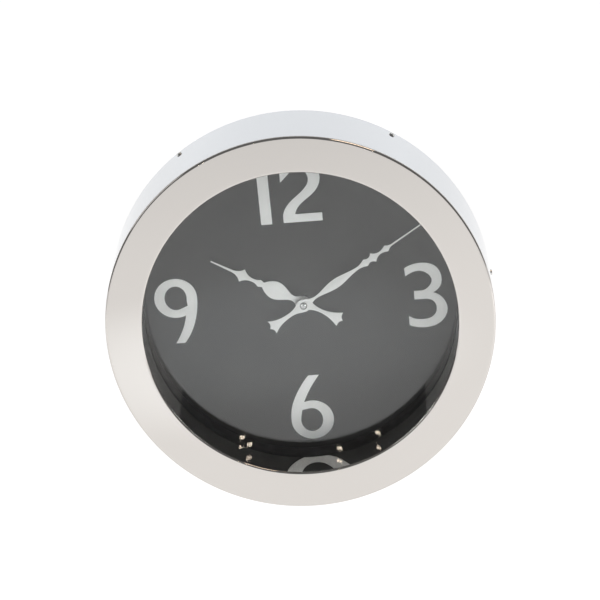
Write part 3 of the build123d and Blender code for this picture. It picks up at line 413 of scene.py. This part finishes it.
def turned_bezel(segments=480):
    low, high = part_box("front_bezel")
    front, outer, wall_end = -low.y, high.x, -high.y
    rim_end = front - BEZEL_RIM
    skirt_end = rim_end - SKIRT_DEPTH
    underside = front - BEZEL_SHEET
    inner_round = quarter_round((BEZEL_OPENING + BEZEL_ROUND, front - BEZEL_ROUND), BEZEL_ROUND, 180)
    outer_round = quarter_round((outer - BEZEL_ROUND, front - BEZEL_ROUND), BEZEL_ROUND, 90)
    corners = [
        (outer, rim_end), (BEZEL_SKIRT, rim_end), (BEZEL_SKIRT, skirt_end),
        (BEZEL_SKIRT - BEZEL_SHEET, skirt_end), (BEZEL_SKIRT - BEZEL_SHEET, underside),
        (BEZEL_OPENING + BEZEL_SHEET, underside), (BEZEL_OPENING + BEZEL_SHEET, wall_end),
        (BEZEL_OPENING, wall_end),
    ]
    profile = inner_round + outer_round + corners
    first_corner = len(profile) - len(corners)
    work = bmesh.new()
    rings = []
    for radius, height in profile:
        rings.append([
            work.verts.new((
                radius * math.sin(2 * math.pi * i / segments), -height,
                radius * math.cos(2 * math.pi * i / segments),
            ))
            for i in range(segments)
        ])
    for ring, following in zip(rings, rings[1:] + rings[:1]):
        for i in range(segments):
            j = (i + 1) % segments
            work.faces.new((ring[i], ring[j], following[j], following[i])).smooth = True
    bmesh.ops.recalc_face_normals(work, faces=work.faces[:])
    for ring in rings[first_corner:]:
        for i in range(segments):
            work.edges.get((ring[i], ring[(i + 1) % segments])).smooth = False
    mesh = bpy.data.meshes.new("bezel_turned")
    work.to_mesh(mesh)
    work.free()
    mesh.materials.append(polished_bezel.material)
    made = bpy.data.objects.new("bezel_turned", mesh)
    bpy.context.scene.collection.objects.link(made)
    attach(made, "case")
    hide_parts("front_bezel")


# ---- Camera ----
def place_camera():
    azimuth, elevation, roll = (math.radians(a) for a in (AZIMUTH, ELEVATION, ROLL))
    view = Vector((
        -math.sin(azimuth) * math.cos(elevation),
        math.cos(azimuth) * math.cos(elevation),
        -math.sin(elevation),
    ))
    level = view.cross(Vector((0, 0, 1))).normalized()
    upright = level.cross(view)
    right = math.cos(roll) * level + math.sin(roll) * upright
    up = math.cos(roll) * upright - math.sin(roll) * level
    data = bpy.data.cameras.new("camera")
    data.lens = LENS
    data.sensor_width = 36.0
    data.clip_end = 100.0
    camera = bpy.data.objects.new("camera", data)
    bpy.context.scene.collection.objects.link(camera)
    face_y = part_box("front_bezel")[0].y
    aim = Vector((AIM_RIGHT, face_y, AIM_UP))
    turn = Matrix((right, up, -view)).transposed().to_4x4()
    camera.matrix_world = Matrix.Translation(aim - view * DISTANCE) @ turn
    bpy.context.scene.camera = camera
    return camera


# ---- Studio ----
def glowing_white(name, strength, reflect):
    """Matt white studio surface that also glows a little, as a lit-through sweep does."""
    made = Shader(name, (reflect, reflect, reflect), Roughness=0.9)
    made.set("Specular IOR Level", 0.0)
    made.set("Emission Color", (1.0, 1.0, 1.0, 1.0))
    made.set("Emission Strength", strength)
    return made


def build_stage():
    """Pale floor that curves up into a backdrop far behind the clock."""
    floor_z = cad_low.z - FLOOR_DROP
    profile = [(-FLOOR_SIZE / 2, floor_z), (BACKDROP_AT - BACKDROP_BEND, floor_z)]
    for step in range(1, 13):
        angle = math.radians(90 * step / 12)
        profile.append((
            BACKDROP_AT - BACKDROP_BEND + BACKDROP_BEND * math.sin(angle),
            floor_z + BACKDROP_BEND * (1 - math.cos(angle)),
        ))
    profile.append((BACKDROP_AT, floor_z + BACKDROP_HEIGHT))
    work = bmesh.new()
    rows = []
    for y, z in profile:
        rows.append([work.verts.new((x, y, z)) for x in (-FLOOR_SIZE / 2, FLOOR_SIZE / 2)])
    for first, second in zip(rows, rows[1:]):
        work.faces.new((first[0], first[1], second[1], second[0]))
    mesh = bpy.data.meshes.new("sweep")
    work.to_mesh(mesh)
    work.free()
    for face in mesh.polygons:
        face.use_smooth = True
    sweep = bpy.data.objects.new("sweep", mesh)
    bpy.context.scene.collection.objects.link(sweep)
    mesh.materials.append(glowing_white("sweep_white", SWEEP_GLOW, SWEEP_REFLECT).material)


def area_light(name, place, aim, size, power, color=(1, 1, 1), tilt=0):
    data = bpy.data.lights.new(name, "AREA")
    data.shape = "RECTANGLE"
    data.size, data.size_y = size
    data.energy = power
    data.color = color
    light = bpy.data.objects.new(name, data)
    bpy.context.scene.collection.objects.link(light)
    light.location = place
    facing = (Vector(aim) - Vector(place)).to_track_quat("-Z", "Y")
    light.rotation_euler = (facing @ Quaternion((0, 0, 1), math.radians(tilt))).to_euler()
    return light


def floor_spot(place, height, width, power, color):
    """Soft pool of light on the floor, which the glass mirrors onto the dial."""
    data = bpy.data.lights.new("floor_spot", "SPOT")
    data.energy = power
    data.color = color
    data.spot_size = 2 * math.atan(width / 2 / height)
    data.spot_blend = 1.0
    data.shadow_soft_size = 0.02
    light = bpy.data.objects.new("floor_spot", data)
    bpy.context.scene.collection.objects.link(light)
    light.location = (place[0], place[1], cad_low.z - FLOOR_DROP + height)


def mirrored_place(eye, sight):
    """Place on the lamps' plane, as (x, z), that the wall and the glass mirror along a sight line."""
    # Seen along the clock's axis, the wall is a circle, and the sight line leaves it at the spot.
    start = Vector((eye.x, eye.z))
    step = Vector((sight.x, sight.z))
    half = start.dot(step)
    gap = start.length_squared - BEZEL_OPENING**2
    reach = (math.sqrt(half**2 - step.length_squared * gap) - half) / step.length_squared
    spot = eye + sight * reach
    leaving = sight.reflect(Vector((spot.x, 0, spot.z)).normalized())
    glass_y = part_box("glass_lens")[0].y
    image = spot + leaving * ((2 * glass_y - LAMP_AT - spot.y) / leaving.y)
    return Vector((image.x, image.z))


def build_room_lamps():
    """Slim far lamps, each turned so that its mirrored image lies level in the view."""
    pose = bpy.context.scene.camera.matrix_world
    eye = pose.translation
    level = pose.col[0].to_3d()
    face_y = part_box("front_bezel")[0].y
    lamp_area = LAMP_SIZE[0] * LAMP_SIZE[1]
    for name, clock_angle, *depths in WALL_HIGHLIGHTS:
        angle = math.radians(clock_angle)
        outward = Vector((math.sin(angle), 0, math.cos(angle)))
        for depth, glow, ending in zip(depths, (LAMP_GLOW, IMAGE_GLOW), ("_wall", "_image")):
            spot = outward * BEZEL_OPENING
            spot.y = face_y + depth
            place = mirrored_place(eye, spot - eye)
            along = mirrored_place(eye, spot + level * 0.1 * MM - eye) - place
            tilt = math.degrees(math.atan2(along.y, along.x))
            area_light(name + ending, (place.x, LAMP_AT, place.y), (0, 0, 0), LAMP_SIZE,
                       glow * math.pi * lamp_area, LAMP_COLOR, tilt)


def build_lights():
    world = bpy.data.worlds.new("studio")
    world.use_nodes = True
    world.node_tree.nodes["Background"].inputs["Color"].default_value = (WORLD_GREY,) * 3 + (1,)
    bpy.context.scene.world = world
    left = area_light("side_left", (-2.1, -1.5, 0.9), (0, 0, 0), SIDE_SIZE, 40)
    right = area_light("side_right", (2.1, -1.5, 0.9), (0, 0, 0), SIDE_SIZE, 65)
    # Kept out of the polished metal, where they would show as white streaks on the rounded rim.
    left.visible_glossy = False
    right.visible_glossy = False
    area_light("panel_left", (-1.8, -0.4, 1.15), (0, 0, 0), (1.0, 1.0), 3.2)
    area_light("panel_right", (0.85, -0.1, 1.9), (0, 0, 0), (0.6, 0.6), 6, WARM)
    floor_spot((-0.12, -1.48), 1.5, 0.6, 50, COOL)
    build_room_lamps()


# ---- Scene ----
silver_hand = silver_paint("silver_hand", (0.775, 0.775, 0.77), 0.7)
# Bezel metal: its own polished grey, with a warm tint in the colour that is a painted reflection of a
# warm card the studio does not have.
polished_bezel = polished_metal("polished_bezel", (0.58, 0.555, 0.53), 0.015)
paint(silver_hand, "hour_hand", "minute_hand")
paint_everything()
turned_bezel()
ridged_hand("hour_hand", "hour", HOUR_ANGLE, HOUR_RIDGE)
ridged_hand("minute_hand", "minute", MINUTE_ANGLE, MINUTE_RIDGE)
bpy.context.scene.view_settings.view_transform = "Standard"
place_camera()
build_stage()
build_lights()
